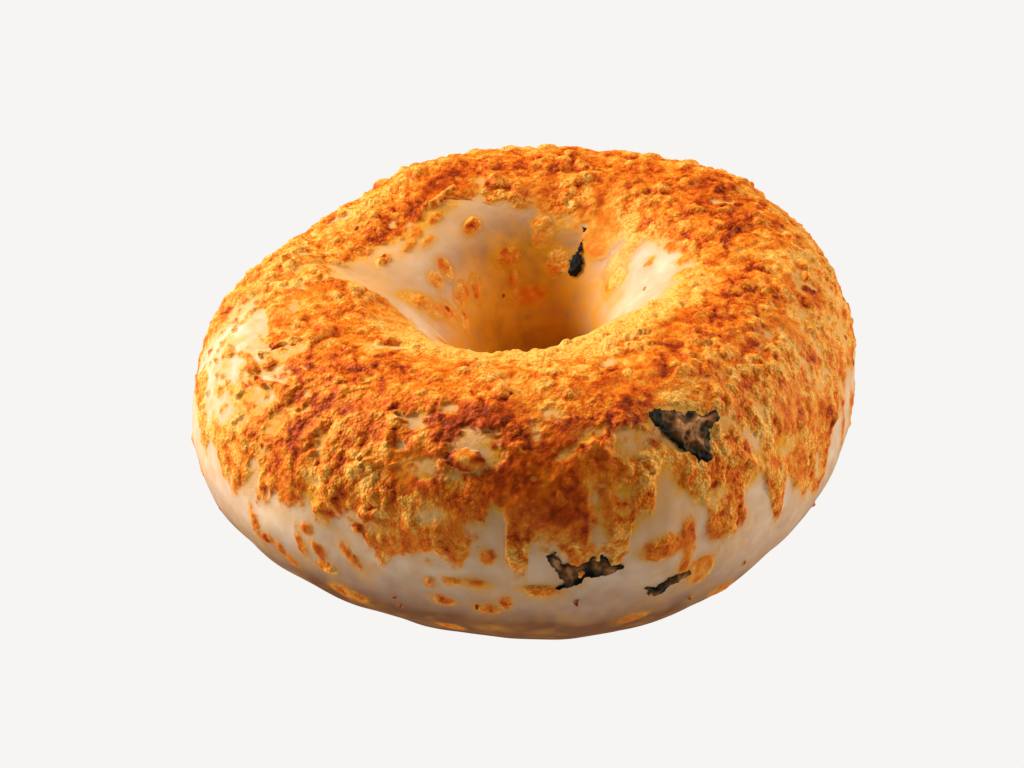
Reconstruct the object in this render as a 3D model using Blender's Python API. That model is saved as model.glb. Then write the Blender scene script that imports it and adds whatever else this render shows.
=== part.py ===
"""A plump round bagel, baked with grated cheese and scraps of herb leaf.

The dough is one hand-rolled ring. The cheese has melted onto it, so it is relief on the same solid.
Each scrap of leaf is a thin crumpled sheet that lies in its own shallow pocket in the crust.

The ring is described by two angles. "around" runs round the hole, from +X towards +Y. "section" runs
round the dough itself, from the outer edge (0) over the top (90) and down the hole's wall (180).
"""

import math

import bmesh
import bpy
from mathutils import Vector, noise

# Driving dimensions of the bare dough ring, in metres
OUTER_RADIUS = 0.0554
HOLE_RADIUS = 0.0099
HEIGHT = 0.0437

# Share of the way from the hole's wall to the outer edge where the top is highest
CREST_SHARE = 0.556
# Share of the height where the ring is widest
WAIST_SHARE = 0.442
# How square the outer shoulder is: 2 is an ellipse
SHOULDER_POWER = 2.4
# The underside would reach this far below the tray, which has pressed it flat
BASE_PRESS = 0.0015
# Half the height over which the flat base turns into the round side
BASE_SOFTNESS = 0.0006

# Unevenness of a ring shaped by hand: (lobes round the ring, size, angle of the first lobe)
OUTER_LOBES = ((1, 0.0010, 31), (2, 0.0028, 45), (3, 0.0013, 60), (4, 0.0008, 15))
HEIGHT_LOBES = ((1, 0.0013, 22), (2, 0.0010, 99))
HOLE_LOBES = ((1, 0.0043, 97), (2, 0.0026, 65))

# Swells of the dough: (around, section, reach around, reach in section, height)
SWELLS = (
    (184, 98, 10, 26, 0.0010),
    (118, 70, 12, 30, 0.0010),
    (46, 58, 12, 30, 0.0011),
    (85, 80, 16, 30, -0.0006),
)

# The fold where one end of the rolled dough was pressed over the other, at the left of the hole
FOLD_AROUND = 169
FOLD_SLANT = 0.35
FOLD_WIDTH = 2.0
FOLD_TAIL = 30
FOLD_SECTION = 102
FOLD_REACH = 36
FOLD_DEPTH = 0.0035

# The melted cheese: its thickness, the sections where it ends and how unevenly it does
CHEESE_THICKNESS = 0.0011
CHEESE_LOW_SECTION = 4
CHEESE_HIGH_SECTION = 121
CHEESE_EDGE_WANDER = 13
CHEESE_EDGE_SOFTNESS = 4
# Where the cheese hangs lower or ends higher than elsewhere: (around, reach around, change in section)
LOWER_EDGE_CHANGES = ((205, 12, 8), (236, 10, -12), (298, 6, 14), (306, 4, -20), (330, 14, 9))
UPPER_EDGE_CHANGES = ((110, 34, -8), (10, 20, -6), (172, 14, -20), (58, 9, 18), (270, 60, 12))
# Patches of bare dough inside the cheese: (around, section, reach around, reach in section)
BARE_PATCHES = ((291, 47, 5, 8), (266, 25, 4, 5), (301, 26, 6, 7), (209, 68, 4, 7), (12, 56, 3, 12))
# Wavelengths of the clumps that the gratings left, and of the wandering edge
CLUMP_SIZE = 0.0075
EDGE_WAVE = 0.0120

# Cells round the ring and degrees of section between rows
FINE_COLUMNS = 128
COARSE_COLUMNS = FINE_COLUMNS // 2
FINE_START = -66
FINE_END = 114
FINE_STEP = 6
COARSE_STEP = 9

# A scrap of leaf: its thickness, the gap under it, the depth of its pocket and the pocket's margin
LEAF_THICKNESS = 0.0005
LEAF_GAP = 0.0004
POCKET_DEPTH = 0.0009
POCKET_MARGIN = 0.0016
LEAF_CELLS_LONG = 10
LEAF_CELLS_WIDE = 6

# Each scrap: name, around, section, crumple height and its four corners as (along the ring, up the
# section) in millimetres from that place
LEAVES = (
    ("leaf_front_upper", 302.0, 48.0, 0.0014, ((-6.3, 4.6), (6.6, -0.6), (1.2, -5.6), (-2.0, -4.6))),
    ("leaf_front_lower", 279.5, 2.5, 0.0009, ((-5.8, 2.6), (5.6, 0.6), (5.0, -1.4), (-2.4, -2.8))),
    ("leaf_front_right", 294.8, -9.5, 0.0006, ((-3.9, 0.7), (4.0, 1.3), (3.2, -0.9), (-3.4, -1.1))),
    ("leaf_in_hole", 68.8, 136.5, 0.0004, ((0.0, -4.4), (0.9, -4.4), (0.9, 4.4), (-1.7, 4.4))),
)

CHEESE_COLOUR = (0.62, 0.27, 0.06, 1.0)
LEAF_COLOUR = (0.03, 0.03, 0.012, 1.0)


def angle_from(angle, centre):
    """The signed difference of two angles, in degrees, from -180 to 180."""
    return (angle - centre + 180) % 360 - 180


def bell(distance, reach):
    """One at no distance, falling away smoothly over the reach."""
    return math.exp(-((distance / reach) ** 2))


def soft_step(value, softness):
    """Zero well below nought and one well above it."""
    return 1 / (1 + math.exp(-max(-30, min(30, value / softness))))


def lobed(mean, lobes, around):
    """A size that swells and narrows round the ring."""
    return mean + sum(size * math.cos(math.radians(count * (around - first))) for count, size, first in lobes)


def pressed_flat(height):
    """Height above the tray once the underside has been pressed flat, with a soft edge."""
    if height < -BASE_SOFTNESS:
        return 0.0
    if height > BASE_SOFTNESS:
        return height
    return (height + BASE_SOFTNESS) ** 2 / (4 * BASE_SOFTNESS)


def swelling(around, section):
    """How far the hand-shaped dough stands out from the plain ring."""
    total = 0.0
    for swell_around, swell_section, reach_around, reach_section, height in SWELLS:
        across = bell(angle_from(around, swell_around), reach_around)
        total += height * across * bell(angle_from(section, swell_section), reach_section)
    leaning = max(-60, min(60, angle_from(section, 90)))
    past_fold = angle_from(around, FOLD_AROUND + FOLD_SLANT * leaning)
    behind = 1 - soft_step(past_fold, FOLD_WIDTH)
    tail = math.exp(min(0.0, past_fold) / FOLD_TAIL)
    return total - FOLD_DEPTH * behind * tail * bell(angle_from(section, FOLD_SECTION), FOLD_REACH)


def ring_point(around, section, lift=0.0):
    """A point on the bare dough, or at the given height above it."""
    outer = lobed(OUTER_RADIUS, OUTER_LOBES, around)
    hole = lobed(HOLE_RADIUS, HOLE_LOBES, around)
    top = lobed(HEIGHT, HEIGHT_LOBES, around)
    crest = hole + (outer - hole) * CREST_SHARE
    waist = WAIST_SHARE * top
    along, up = math.cos(math.radians(section)), math.sin(math.radians(section))
    power = 2 / SHOULDER_POWER if along > 0 and up > 0 else 1
    half_width = outer - crest if along > 0 else crest - hole
    reach = top - waist if up > 0 else waist + BASE_PRESS
    stand = swelling(around, section) + lift
    radius = crest + half_width * math.copysign(abs(along) ** power, along) + stand * along
    height = waist + reach * math.copysign(abs(up) ** power, up) + stand * up
    turn = math.radians(around)
    return Vector((radius * math.cos(turn), radius * math.sin(turn), pressed_flat(height)))


def steps_to_metres(around, section):
    """Metres on the surface for one degree around and for one degree of section."""
    here = ring_point(around, section)
    return (ring_point(around + 1, section) - here).length, (ring_point(around, section + 1) - here).length


def section_range(angle):
    """A section angle put between -90 and 270."""
    return (angle + 90) % 360 - 90


def edge_changes(changes, around):
    """The change in section of a cheese edge at one place round the ring."""
    return sum(change * bell(angle_from(around, place), reach) for place, reach, change in changes)


def cheese_cover(around, section):
    """How much cheese lies here, from bare dough (0) to a full layer (1)."""
    place = ring_point(around, section)
    wander = CHEESE_EDGE_WANDER * noise.noise(place / EDGE_WAVE)
    low = CHEESE_LOW_SECTION + edge_changes(LOWER_EDGE_CHANGES, around) + wander
    high = CHEESE_HIGH_SECTION + edge_changes(UPPER_EDGE_CHANGES, around) + wander
    angle = section_range(section)
    cover = soft_step(angle - low, CHEESE_EDGE_SOFTNESS) * soft_step(high - angle, CHEESE_EDGE_SOFTNESS)
    for patch_around, patch_section, reach_around, reach_section in BARE_PATCHES:
        across = bell(angle_from(around, patch_around), reach_around)
        cover *= 1 - across * bell(angle_from(section, patch_section), reach_section)
    return cover


def pocket_share(around, section):
    """One where a scrap of leaf lies on the dough, falling to nought past the pocket's margin."""
    share = 0.0
    for name, leaf_around, leaf_section, crumple, corners in LEAVES:
        if abs(angle_from(around, leaf_around)) > 40 or abs(angle_from(section, leaf_section)) > 40:
            continue
        per_around, per_section = steps_to_metres(leaf_around, leaf_section)
        middle_along = sum(corner[0] for corner in corners) / 4000
        middle_up = sum(corner[1] for corner in corners) / 4000
        half_long = max(abs(corner[0] / 1000 - middle_along) for corner in corners) + POCKET_MARGIN
        half_wide = max(abs(corner[1] / 1000 - middle_up) for corner in corners) + POCKET_MARGIN
        along = (angle_from(around, leaf_around) * per_around - middle_along) / half_long
        up = (angle_from(section, leaf_section) * per_section - middle_up) / half_wide
        share = max(share, math.exp(-((along * along + up * up) ** 2)))
    return share


def crust_lift(around, section):
    """Height of the crust above the bare dough: clumps of cheese, less the pockets under the leaves."""
    place = ring_point(around, section)
    clumps = 0.72 + 0.55 * noise.noise(place / CLUMP_SIZE + Vector((7.0, 3.0, 5.0)))
    pocket = pocket_share(around, section)
    return CHEESE_THICKNESS * cheese_cover(around, section) * clumps * (1 - pocket) - POCKET_DEPTH * pocket


def section_rows():
    """The rows of the ring's mesh as (section, number of columns), starting under the crest."""
    rows = []
    section = -90
    while section < 270:
        fine = FINE_START <= section <= FINE_END
        rows.append((section, FINE_COLUMNS if fine else COARSE_COLUMNS))
        step = FINE_STEP if FINE_START <= section < FINE_END else COARSE_STEP
        section += step if section + step <= FINE_START or section >= FINE_START else FINE_START - section
    return rows


def join_rows(mesh, lower, upper):
    """Faces between two closed rows of vertices, of equal number or two to one."""
    count = max(len(lower), len(upper))
    for index in range(count):
        after = (index + 1) % count
        if len(lower) == len(upper):
            mesh.faces.new((lower[index], lower[after], upper[after], upper[index]))
            continue
        fine, coarse, turned = (lower, upper, False) if len(lower) > len(upper) else (upper, lower, True)
        near, far = coarse[index // 2], coarse[(index // 2 + 1) % len(coarse)]
        faces = [(fine[index], fine[after], near)] if index % 2 == 0 else [
            (fine[index], fine[after], far), (fine[index], far, near)]
        for corners in faces:
            mesh.faces.new(tuple(reversed(corners)) if turned else corners)


def bagel_mesh():
    """The dough ring with its crust, as one closed skin."""
    mesh = bmesh.new()
    rows = []
    for section, columns in section_rows():
        row = []
        for column in range(columns):
            around = 360 * column / columns
            row.append(mesh.verts.new(ring_point(around, section, crust_lift(around, section))))
        rows.append(row)
    for index, row in enumerate(rows):
        join_rows(mesh, row, rows[(index + 1) % len(rows)])
    return mesh


def leaf_mesh(leaf_around, leaf_section, crumple, corners):
    """A thin crumpled sheet between four corners, a constant gap above its pocket or higher."""
    per_around, per_section = steps_to_metres(leaf_around, leaf_section)
    mesh = bmesh.new()
    under, over = [], []
    for step_long in range(LEAF_CELLS_LONG + 1):
        for step_wide in range(LEAF_CELLS_WIDE + 1):
            share_long = step_long / LEAF_CELLS_LONG
            share_wide = step_wide / LEAF_CELLS_WIDE
            weights = ((1 - share_long) * (1 - share_wide), share_long * (1 - share_wide),
                       share_long * share_wide, (1 - share_long) * share_wide)
            along = sum(weight * corner[0] for weight, corner in zip(weights, corners)) / 1000
            up = sum(weight * corner[1] for weight, corner in zip(weights, corners)) / 1000
            around = leaf_around + along / per_around
            section = leaf_section + up / per_section
            ripple = noise.noise(Vector((leaf_around + share_long * 3.1, share_wide * 1.9, 0.5)))
            floor = crust_lift(around, section) + LEAF_GAP
            stand = floor + crumple * (0.5 + ripple) * (0.35 + 0.65 * abs(2 * share_long - 1))
            under.append(mesh.verts.new(ring_point(around, section, max(floor, stand))))
            over.append(mesh.verts.new(ring_point(around, section, max(floor, stand) + LEAF_THICKNESS)))
    stride = LEAF_CELLS_WIDE + 1
    for step_long in range(LEAF_CELLS_LONG):
        for step_wide in range(LEAF_CELLS_WIDE):
            first = step_long * stride + step_wide
            one, two, three, four = first, first + stride, first + stride + 1, first + 1
            for corners_used in ((one, two, three), (one, three, four)):
                mesh.faces.new([over[corner] for corner in corners_used])
                mesh.faces.new([under[corner] for corner in reversed(corners_used)])
    rim = [step * stride for step in range(LEAF_CELLS_LONG)]
    rim += [LEAF_CELLS_LONG * stride + step for step in range(LEAF_CELLS_WIDE)]
    rim += [step * stride + LEAF_CELLS_WIDE for step in range(LEAF_CELLS_LONG, 0, -1)]
    rim += [step for step in range(LEAF_CELLS_WIDE, 0, -1)]
    for index, corner in enumerate(rim):
        after = rim[(index + 1) % len(rim)]
        mesh.faces.new((under[corner], under[after], over[after], over[corner]))
    return mesh


def plain_material(name, colour, roughness):
    """A material of one colour."""
    material = bpy.data.materials.new(name)
    material.use_nodes = True
    shader = material.node_tree.nodes["Principled BSDF"]
    shader.inputs["Base Color"].default_value = colour
    shader.inputs["Roughness"].default_value = roughness
    return material


def add_object(name, mesh, material):
    """Turn a built mesh into a named object, facing out and shaded smooth."""
    bmesh.ops.recalc_face_normals(mesh, faces=mesh.faces)
    data = bpy.data.meshes.new(name)
    mesh.to_mesh(data)
    mesh.free()
    data.polygons.foreach_set("use_smooth", [True] * len(data.polygons))
    data.materials.append(material)
    made = bpy.data.objects.new(name, data)
    bpy.context.scene.collection.objects.link(made)
    return made


def centre_over_origin(objects):
    """Move every mesh by the same amount, so that the whole stands over the origin."""
    points = [vertex.co for made in objects for vertex in made.data.vertices]
    shift = Vector([-(min(p[axis] for p in points) + max(p[axis] for p in points)) / 2 for axis in (0, 1)] + [0])
    for made in objects:
        for vertex in made.data.vertices:
            vertex.co += shift
    return shift


for old in list(bpy.data.objects):
    bpy.data.objects.remove(old, do_unlink=True)

parts = [add_object("bagel", bagel_mesh(), plain_material("baked_cheese", CHEESE_COLOUR, 0.5))]
leaf_material = plain_material("baked_leaf", LEAF_COLOUR, 0.6)
for leaf_name, around_place, section_place, crumple_height, leaf_corners in LEAVES:
    leaf = leaf_mesh(around_place, section_place, crumple_height, leaf_corners)
    parts.append(add_object(leaf_name, leaf, leaf_material))
print("moved by", centre_over_origin(parts))
for part in parts:
    print(part.name, sum(len(face.vertices) - 2 for face in part.data.polygons), "triangles")
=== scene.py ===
import math

import bpy
import numpy as np
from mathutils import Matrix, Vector


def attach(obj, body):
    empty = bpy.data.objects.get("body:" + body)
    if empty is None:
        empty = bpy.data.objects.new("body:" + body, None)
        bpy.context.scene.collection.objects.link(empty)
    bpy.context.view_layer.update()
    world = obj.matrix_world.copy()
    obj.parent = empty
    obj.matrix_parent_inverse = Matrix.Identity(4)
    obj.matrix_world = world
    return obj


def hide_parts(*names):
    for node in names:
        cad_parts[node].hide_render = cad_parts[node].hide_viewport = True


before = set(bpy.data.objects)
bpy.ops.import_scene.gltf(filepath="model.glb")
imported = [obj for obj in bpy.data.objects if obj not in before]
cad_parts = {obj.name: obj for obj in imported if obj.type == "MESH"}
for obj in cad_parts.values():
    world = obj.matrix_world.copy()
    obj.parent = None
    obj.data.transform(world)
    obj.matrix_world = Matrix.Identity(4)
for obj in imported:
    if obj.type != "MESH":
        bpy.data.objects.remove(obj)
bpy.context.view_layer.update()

# The bagel's dough: one hand-rolled ring of pale yeast dough, boiled and baked, flat underneath where it
# lay on the tray. Its two ends were pressed together at the left of the hole, which left a fold. It is one
# closed skin, and the cheese on it is the next section.

# Sizes in millimetres, angles in degrees. "Around" runs round the hole from the right-hand side, and
# "section" runs round the dough itself, from the outer edge (0) over the top (90) and down into the hole.
RING_SHIFT = (0.4, -0.3, 0.0)
OUTER_RADIUS = 55.4
HOLE_RADIUS = 9.9
HEIGHT = 43.7
CREST_SHARE = 0.556
WAIST_SHARE = 0.442
SHOULDER_POWER = 2.4
BASE_PRESS = 1.5
BASE_SOFTNESS = 0.6
OUTER_LOBES = ((1, 1.0, 31), (2, 2.8, 45), (3, 1.3, 60), (4, 0.8, 15))
HEIGHT_LOBES = ((1, 1.3, 22), (2, 1.0, 99))
HOLE_LOBES = ((1, 4.3, 97), (2, 2.6, 65))
SWELLS = (
    (184, 98, 10, 26, 1.0),
    (118, 70, 12, 30, 1.0),
    (46, 58, 12, 30, 1.1),
    (85, 80, 16, 30, -0.6),
)
FOLD_AROUND = 169
FOLD_SLANT = 0.35
FOLD_WIDTH = 2.0
FOLD_TAIL = 30
FOLD_SECTION = 102
FOLD_REACH = 36
FOLD_DEPTH = 3.5
# Gentle dimples of the baked dough: (height, size, seed); they start a little above the tray
DIMPLES = ((0.16, 7.0, 11), (0.06, 3.6, 15))
DIMPLES_START = 1.6
DIMPLES_SOFTNESS = 0.4
DOUGH_CELL = 0.72
BUMP_DISTANCE = 0.0002
MILLIMETRE = 0.001


def angle_from(angle, centre):
    """The signed difference of two angles, from -180 to 180."""
    return (angle - centre + 180) % 360 - 180


def bell(distance, reach):
    """One at no distance, falling away smoothly over the reach."""
    return np.exp(-((distance / reach) ** 2))


def soft_step(value, softness):
    """Nought well below nought and one well above it."""
    return 1 / (1 + np.exp(-np.clip(value / softness, -30, 30)))


def lobed(mean, lobes, around):
    """A size that swells and narrows round the ring."""
    return mean + sum(size * np.cos(np.radians(count * (around - first))) for count, size, first in lobes)


def swelling(around, section):
    """How far the hand-shaped dough stands out from a plain ring."""
    total = 0
    for swell_around, swell_section, reach_around, reach_section, height in SWELLS:
        across = bell(angle_from(around, swell_around), reach_around)
        total = total + height * across * bell(angle_from(section, swell_section), reach_section)
    leaning = np.clip(angle_from(section, 90), -60, 60)
    past_fold = angle_from(around, FOLD_AROUND + FOLD_SLANT * leaning)
    behind = 1 - soft_step(past_fold, FOLD_WIDTH)
    tail = np.exp(np.minimum(0, past_fold) / FOLD_TAIL)
    return total - FOLD_DEPTH * behind * tail * bell(angle_from(section, FOLD_SECTION), FOLD_REACH)


def dough_points(around, section, lift=0.0):
    """Points on the dough's skin, or at a height above it, one for each pair of angles."""
    outer = lobed(OUTER_RADIUS, OUTER_LOBES, around)
    hole = lobed(HOLE_RADIUS, HOLE_LOBES, around)
    top = lobed(HEIGHT, HEIGHT_LOBES, around)
    crest = hole + (outer - hole) * CREST_SHARE
    waist = WAIST_SHARE * top
    along, up = np.cos(np.radians(section)), np.sin(np.radians(section))
    power = np.where((along > 0) & (up > 0), 2 / SHOULDER_POWER, 1.0)
    half_width = np.where(along > 0, outer - crest, crest - hole)
    reach = np.where(up > 0, top - waist, waist + BASE_PRESS)
    stand = swelling(around, section) + lift
    radius = crest + half_width * np.sign(along) * np.abs(along) ** power + stand * along
    height = waist + reach * np.sign(up) * np.abs(up) ** power + stand * up
    resting = (height + BASE_SOFTNESS) ** 2 / (4 * BASE_SOFTNESS)
    height = np.where(height < -BASE_SOFTNESS, 0, np.where(height > BASE_SOFTNESS, height, resting))
    turn = np.radians(around)
    return np.stack([radius * np.cos(turn), radius * np.sin(turn), height], -1) + np.array(RING_SHIFT)


def dough_normals(around, section):
    """The direction out of the dough at each pair of angles."""
    step = 0.5
    along_ring = dough_points(around + step, section) - dough_points(around - step, section)
    up_section = dough_points(around, section + step) - dough_points(around, section - step)
    out = np.cross(along_ring, up_section)
    return out / np.maximum(np.linalg.norm(out, axis=-1, keepdims=True), 1e-9)


def section_step_lengths(sections):
    """Millimetres on the skin for one degree of section, averaged round the ring."""
    around = np.arange(0, 360, 10.0)
    lengths = []
    for section in sections:
        step = dough_points(around, section + 0.5) - dough_points(around, section - 0.5)
        lengths.append(np.linalg.norm(step, axis=-1).mean())
    return np.array(lengths)


def ring_rows(first, last, cell):
    """Rows of a fine net on the skin, as (section, number of columns), with cells of about one size."""
    sections = np.arange(first, last + 0.25, 0.25)
    travelled = np.concatenate([[0], np.cumsum(0.25 * section_step_lengths(sections[:-1] + 0.125))])
    rows = np.interp(np.linspace(0, travelled[-1], int(travelled[-1] / cell) + 1), travelled, sections)
    around = np.arange(0, 360, 10.0)
    net = []
    for section in rows:
        points = dough_points(around, section) - np.array(RING_SHIFT)
        girth = 2 * math.pi * np.linalg.norm(points[:, :2], axis=1).mean()
        net.append((section, max(120, 60 * round(girth / cell / 60))))
    return net


def net_angles(rows):
    """The two angles of every point of a net, and where each row starts."""
    around = np.concatenate([np.arange(count) * 360.0 / count for section, count in rows])
    section = np.concatenate([np.full(count, section) for section, count in rows])
    starts = np.concatenate([[0], np.cumsum([count for section, count in rows])])
    return around, section, starts


def net_triangles(rows, starts, closed=False):
    """Triangles between each row and the next, whatever their numbers of columns."""
    found = []
    for row in range(len(rows) if closed else len(rows) - 1):
        upper_row = (row + 1) % len(rows)
        lower_count, upper_count = rows[row][1], rows[upper_row][1]
        if lower_count < upper_count:
            near, far, near_row, far_row = upper_count, lower_count, upper_row, row
        else:
            near, far, near_row, far_row = lower_count, upper_count, row, upper_row
        here = np.arange(near)
        facing = np.floor((here + 0.5) * far / near + 0.5).astype(int)
        after = (here + 1) % near
        one = np.stack([starts[near_row] + here, starts[near_row] + after,
                        starts[far_row] + facing % far], -1)
        facing_next = np.floor((here + 1.5) * far / near + 0.5).astype(int)
        turns = facing_next != facing
        two = np.stack([starts[near_row] + after, starts[far_row] + facing_next % far,
                        starts[far_row] + facing % far], -1)[turns]
        both = np.concatenate([one, two])
        found.append(both[:, ::-1] if near_row == upper_row else both)
    return np.concatenate(found)


# Large odd numbers that mix whole numbers well, and the mask that keeps 32 bits of one
MIX_X, MIX_Y, MIX_Z = np.uint32(374761393), np.uint32(668265263), np.uint32(2246822519)
MIX_SEED, MIX_NUMBER = np.uint32(3266489917), np.uint32(2654435769)
ALL_BITS = 0xFFFFFFFF


def mixed_number(x, y, z, seed):
    """A well mixed whole number for each whole-numbered place, always the same for the same seed."""
    mixed = x * MIX_X + y * MIX_Y + z * MIX_Z
    mixed += np.uint32(seed * int(MIX_SEED) & ALL_BITS)
    mixed ^= mixed >> np.uint32(15)
    mixed *= MIX_Z
    mixed ^= mixed >> np.uint32(13)
    mixed *= MIX_SEED
    return mixed ^ (mixed >> np.uint32(16))


def cells_of(points, size):
    """The whole-numbered cell of each point and its place inside that cell, axis by axis."""
    place = [np.ascontiguousarray(points[:, axis], dtype=np.float32) / np.float32(size) for axis in range(3)]
    corner = [np.floor(values) for values in place]
    inside = [values - low for values, low in zip(place, corner)]
    return [low.astype(np.int32).view(np.uint32) for low in corner], inside


def unevenness(points, size, seed, layers=1):
    """Smooth random relief from about -1 to 1, with lumps of a given size in millimetres."""
    total, strength, all_strength = 0, 1.0, 0.0
    for layer in range(layers):
        corner, inside = cells_of(points, size)
        share = [value * value * value * (value * (value * 6 - 15) + 10) for value in inside]
        value = np.zeros(len(points), dtype=np.float32)
        for step in np.ndindex(2, 2, 2):
            weight = np.float32(2 ** -24)
            for axis in range(3):
                weight = weight * (share[axis] if step[axis] else 1 - share[axis])
            x, y, z = (corner[axis] + np.uint32(step[axis]) for axis in range(3))
            value += weight * (mixed_number(x, y, z, seed + layer) >> np.uint32(8))
        total = total + strength * (value * 2 - 1)
        all_strength += strength
        strength *= 0.5
        size *= 0.47
    return total / all_strength * 1.6


def pebbles(points, size, seed):
    """The distance from each point to the nearest scattered seed, in cell sizes, and that seed's number."""
    corner, inside = cells_of(points, size)
    nearest = np.full(len(points), 9.0, dtype=np.float32)
    number = np.zeros(len(points), dtype=np.float32)
    for step in np.ndindex(3, 3, 3):
        x, y, z = (corner[axis] + np.uint32((step[axis] - 1) & ALL_BITS) for axis in range(3))
        seed_number = mixed_number(x, y, z, seed)
        distance = np.zeros(len(points), dtype=np.float32)
        for axis in range(3):
            part = (seed_number >> np.uint32(10 * axis)) & np.uint32(1023)
            distance += (part * np.float32(1 / 1023) + np.float32(step[axis] - 1) - inside[axis]) ** 2
        closer = distance < nearest
        nearest[closer] = distance[closer]
        number[closer] = (seed_number[closer] * MIX_NUMBER >> np.uint32(8)) * np.float32(2 ** -24)
    return np.sqrt(nearest), number


def dimples(points):
    """The gentle unevenness of the baked dough, in millimetres; none where it lay on the tray."""
    relief = sum(height * unevenness(points, size, seed) for height, size, seed in DIMPLES)
    return relief * soft_step(points[:, 2] - DIMPLES_START, DIMPLES_SOFTNESS)


def skin_object(name, points, triangles, normals=None, fields=()):
    """A smooth-shaded object from points in millimetres, with its painted fields on the points."""
    used, triangles = np.unique(triangles, return_inverse=True)
    triangles = triangles.reshape(-1, 3)
    mesh = bpy.data.meshes.new(name)
    mesh.vertices.add(len(used))
    mesh.vertices.foreach_set("co", (points[used] * MILLIMETRE).astype(np.float32).ravel())
    mesh.loops.add(triangles.size)
    mesh.loops.foreach_set("vertex_index", triangles.astype(np.int32).ravel())
    mesh.polygons.add(len(triangles))
    mesh.polygons.foreach_set("loop_start", np.arange(0, triangles.size, 3, dtype=np.int32))
    mesh.polygons.foreach_set("use_smooth", np.ones(len(triangles), dtype=bool))
    mesh.update(calc_edges=True)
    for field, values in fields:
        layer = mesh.attributes.new(field, "FLOAT", "POINT")
        layer.data.foreach_set("value", values[used].astype(np.float32))
    if normals is not None:
        mesh.normals_split_custom_set_from_vertices(normals[used].astype(np.float32))
    piece = bpy.data.objects.new(name, mesh)
    bpy.context.scene.collection.objects.link(piece)
    return piece


def smooth_normals(points, triangles):
    """The direction out of the finished skin at each point."""
    one, two, three = (points[triangles[:, corner]] for corner in range(3))
    faces = np.cross(two - one, three - one)
    normals = np.zeros_like(points)
    for axis in range(3):
        for corner in range(3):
            normals[:, axis] += np.bincount(triangles[:, corner], faces[:, axis], len(points))
    return normals / np.maximum(np.linalg.norm(normals, axis=1, keepdims=True), 1e-9)


def colour(red, green, blue):
    """A colour as it looks on a screen, 0 to 255, turned into the shader's numbers."""
    return tuple(((value / 255 + 0.055) / 1.055) ** 2.4 if value > 10 else value / 3295
                 for value in (red, green, blue)) + (1.0,)


class Wire:
    """One value in a material; the usual signs add the Math nodes that work it out."""

    def __init__(self, tree, socket):
        self.tree = tree
        self.socket = socket

    def maths(self, operation, *values):
        node = self.tree.nodes.new("ShaderNodeMath")
        node.operation = operation
        for slot, value in zip(node.inputs, values):
            if isinstance(value, Wire):
                self.tree.links.new(value.socket, slot)
            else:
                slot.default_value = value
        return Wire(self.tree, node.outputs[0])

    def __add__(self, other):
        return self.maths("ADD", self, other)

    def __radd__(self, other):
        return self.maths("ADD", other, self)

    def __sub__(self, other):
        return self.maths("SUBTRACT", self, other)

    def __rsub__(self, other):
        return self.maths("SUBTRACT", other, self)

    def __mul__(self, other):
        return self.maths("MULTIPLY", self, other)

    def __rmul__(self, other):
        return self.maths("MULTIPLY", other, self)

    def __truediv__(self, other):
        return self.maths("DIVIDE", self, other)

    def __rtruediv__(self, other):
        return self.maths("DIVIDE", other, self)


class Finish:
    """A material being put together round its Principled shader."""

    def __init__(self, name):
        self.material = bpy.data.materials.new(name)
        self.material.use_nodes = True
        self.tree = self.material.node_tree
        self.shader = self.tree.nodes["Principled BSDF"]

    def node(self, kind, settings, sockets, output=0):
        """Any other node: its type, its settings, then the values or wires of its sockets."""
        made = self.tree.nodes.new(kind)
        for setting, value in settings.items():
            if setting == "stops":
                while len(made.color_ramp.elements) < len(value):
                    made.color_ramp.elements.new(0.5)
                for stop, (place, paint) in zip(made.color_ramp.elements, value):
                    stop.position = place
                    stop.color = paint
            else:
                setattr(made, setting, value)
        for socket, value in sockets.items():
            self.join(made.inputs[socket], value)
        return Wire(self.tree, made.outputs[output])

    def join(self, slot, value):
        if isinstance(value, Wire):
            self.tree.links.new(value.socket, slot)
        else:
            slot.default_value = value

    def coat(self, **sockets):
        """Sets the Principled shader's own sockets."""
        for socket, value in sockets.items():
            self.join(self.shader.inputs[socket.replace("_", " ")], value)

    def place(self):
        """The place in the object itself, in metres."""
        return self.node("ShaderNodeTexCoord", {}, {}, "Object")

    def field(self, name):
        """A number painted on the points of the mesh."""
        return self.node("ShaderNodeAttribute", {"attribute_name": name}, {}, "Fac")

    def noise(self, scale, detail):
        sockets = {"Vector": self.place(), "Scale": scale, "Detail": detail}
        return self.node("ShaderNodeTexNoise", {}, sockets, "Fac")

    def mix(self, share, one, two):
        """One colour where the share is nought, and the other where it is one."""
        return self.node("ShaderNodeMix", {"data_type": "RGBA"}, {0: share, 6: one, 7: two}, 2)

    def ramp(self, value, *stops):
        """A run of colours, each with its place from 0 to 1."""
        return self.node("ShaderNodeValToRGB", {"stops": stops}, {"Fac": value})

    def bump(self, strength, height):
        sockets = {"Strength": strength, "Distance": BUMP_DISTANCE, "Height": height}
        return self.node("ShaderNodeBump", {}, sockets)


dough_rows = ring_rows(-90, 270, DOUGH_CELL)[:-1]
dough_around, dough_section, dough_starts = net_angles(dough_rows)
dough_triangles = net_triangles(dough_rows, dough_starts, closed=True)
dough_bare = dough_points(dough_around, dough_section)
dough_out = dough_normals(dough_around, dough_section)
dough_skin = dough_bare + dough_out * dimples(dough_bare)[:, None]

dough = skin_object("dough", dough_skin, dough_triangles)
dough_finish = Finish("baked_dough")


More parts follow.
